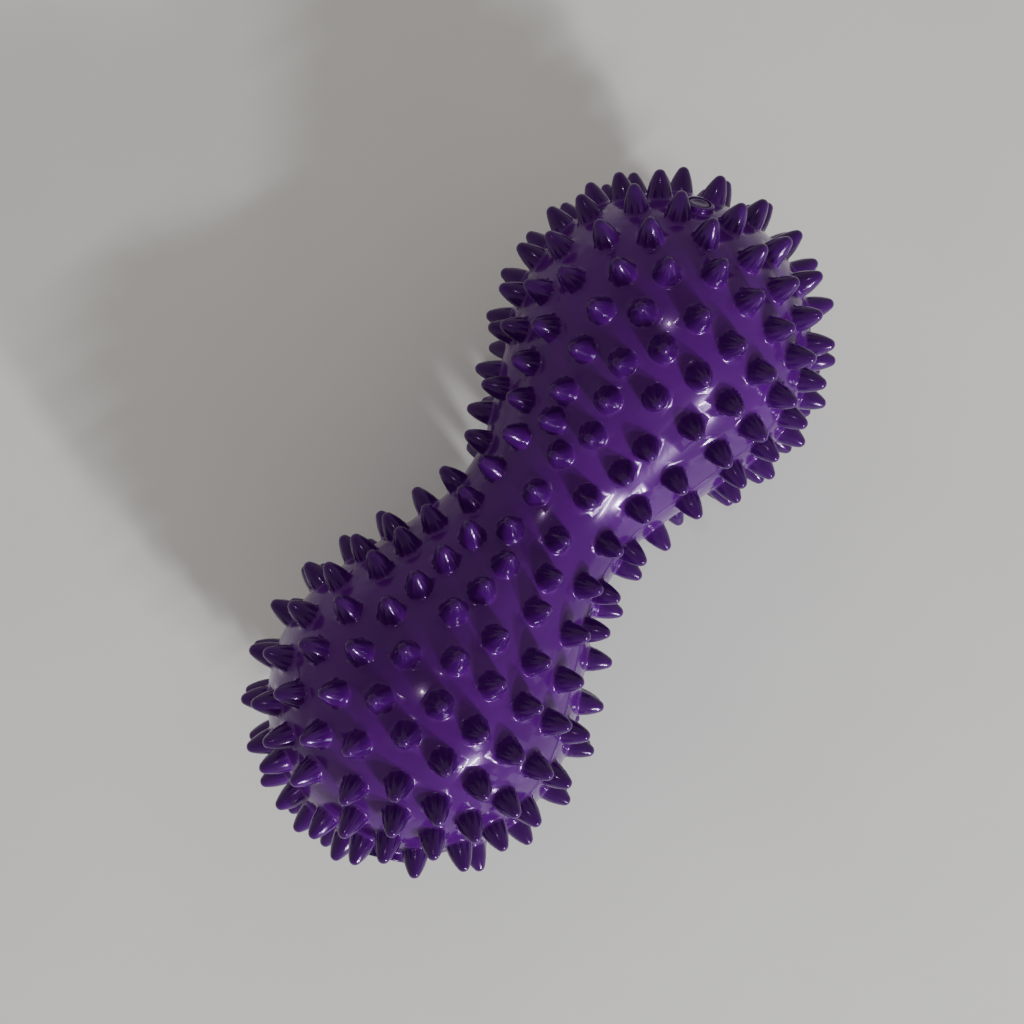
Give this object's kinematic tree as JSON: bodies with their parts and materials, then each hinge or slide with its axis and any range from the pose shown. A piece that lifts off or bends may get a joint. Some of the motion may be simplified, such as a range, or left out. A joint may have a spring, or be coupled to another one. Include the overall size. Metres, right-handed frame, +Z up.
{
  "type": "massage ball",
  "caption": "Hollow double massage ball, two spiked lobes joined by a waist, with a push-in air plug.",
  "frame": {"origin": "on the ground, under the middle of the ball's bounding box", "axes": "+X along the ball from lobe to lobe, towards the lobe with the valve; +Z up from the ground"},
  "size_m": [0.16, 0.0728, 0.072],
  "materials": {
    "pvc_skin": "glossy soft PVC, deep purple, as moulded",
    "plug": "soft PVC, darker purple, slightly duller than the skin"
  },
  "bodies": {
    "ball": {"shell": "pvc_skin"},
    "plug": {"valve_plug": "plug"}
  },
  "joints": [
    {"name": "plug_pull", "type": "slide", "parent": "ball", "child": "plug", "axis": [0.687, 0.2545, 0.6806], "range_m": [0, 0.012]}
  ]
}
